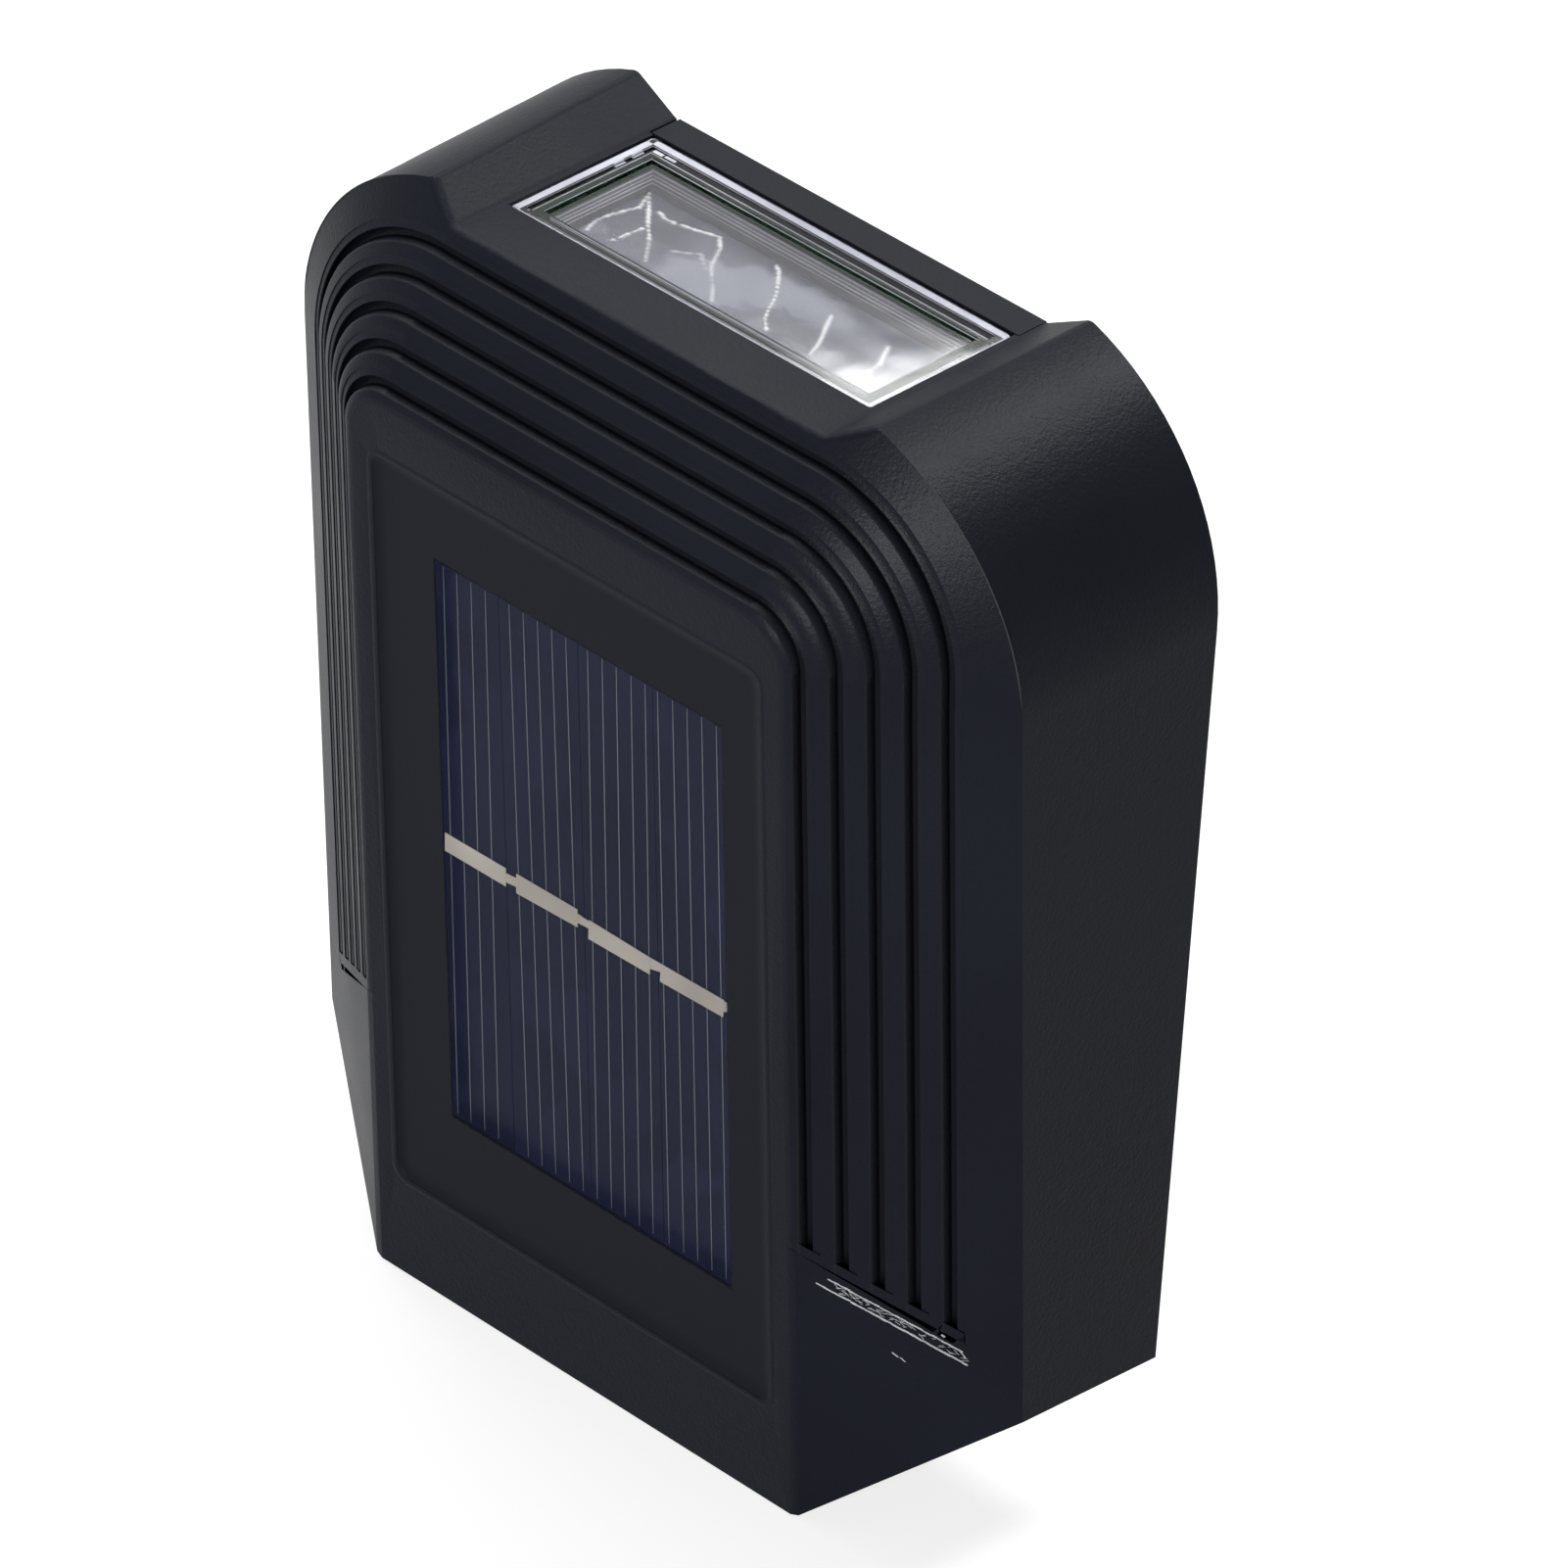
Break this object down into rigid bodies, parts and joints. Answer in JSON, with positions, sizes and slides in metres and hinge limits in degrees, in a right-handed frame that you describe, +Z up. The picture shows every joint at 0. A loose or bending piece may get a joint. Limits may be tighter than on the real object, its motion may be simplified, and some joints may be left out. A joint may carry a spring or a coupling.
{
  "type": "fence light",
  "caption": "Solar fence light: sloping grooved housing with a solar panel in its face, a clear light window across one end and a flat keyhole back with a power button.",
  "frame": {"origin": "centre of the wall face of the back cover", "axes": "+Y out of the back towards the wall, +Z up towards the lens end, the face looks along -Y"},
  "size_m": [0.079, 0.0321, 0.1025],
  "materials": {
    "housing_plastic": "fine moulded grain, satin",
    "cover_plastic": "fine moulded grain",
    "lens_clear": "clear moulded",
    "seal_rubber": "matte",
    "screw_steel": "zinc plated",
    "reflector_film": "bright, slightly crinkled",
    "circuit_board": "solder mask",
    "light_chip": "white case with a yellow dome",
    "solar_backing": "dark laminate",
    "solar_cell": "dark blue silicon",
    "tinned_ribbon": "dull tin",
    "panel_skin": "matte clear resin",
    "foam_tape": "closed foam",
    "button_rubber": "satin",
    "switch_plastic": "moulded",
    "chip_epoxy": "moulded epoxy",
    "inductor_ferrite": "ferrite with a varnished winding",
    "capacitor_can": "sleeved can",
    "cell_sleeve": "plain shrink sleeve",
    "holder_plastic": "moulded",
    "contact_metal": "nickel plated",
    "wire_insulation": "insulated lead"
  },
  "bodies": {
    "housing": {"front_housing": "housing_plastic", "back_cover": "cover_plastic", "cover_seal": "seal_rubber", "cover_screws": "screw_steel", "light_lens": "lens_clear", "lens_seal": "seal_rubber", "reflector": "reflector_film", "light_board": "circuit_board", "light_chips": "light_chip", "solar_board": "solar_backing", "solar_cells": "solar_cell", "cell_ribbons": "tinned_ribbon", "panel_resin": "panel_skin", "panel_tape": "foam_tape", "button_seal": "seal_rubber", "switch_body": "switch_plastic", "main_board": "circuit_board", "board_screws": "screw_steel", "control_chip": "chip_epoxy", "power_inductor": "inductor_ferrite", "board_capacitors": "capacitor_can", "battery_cell": "cell_sleeve", "battery_holder": "holder_plastic", "spring_contact": "contact_metal", "plate_contact": "contact_metal", "panel_wires": "wire_insulation", "led_wires": "wire_insulation", "battery_wires": "wire_insulation"},
    "button": {"power_button": "button_rubber", "switch_plunger": "switch_plastic"}
  },
  "joints": [
    {"name": "button_press", "type": "slide", "parent": "housing", "child": "button", "axis": [0, -1, 0], "range_m": [0, 0.0012], "stiffness_N_per_m": 300, "springref_m": -0.0005}
  ]
}
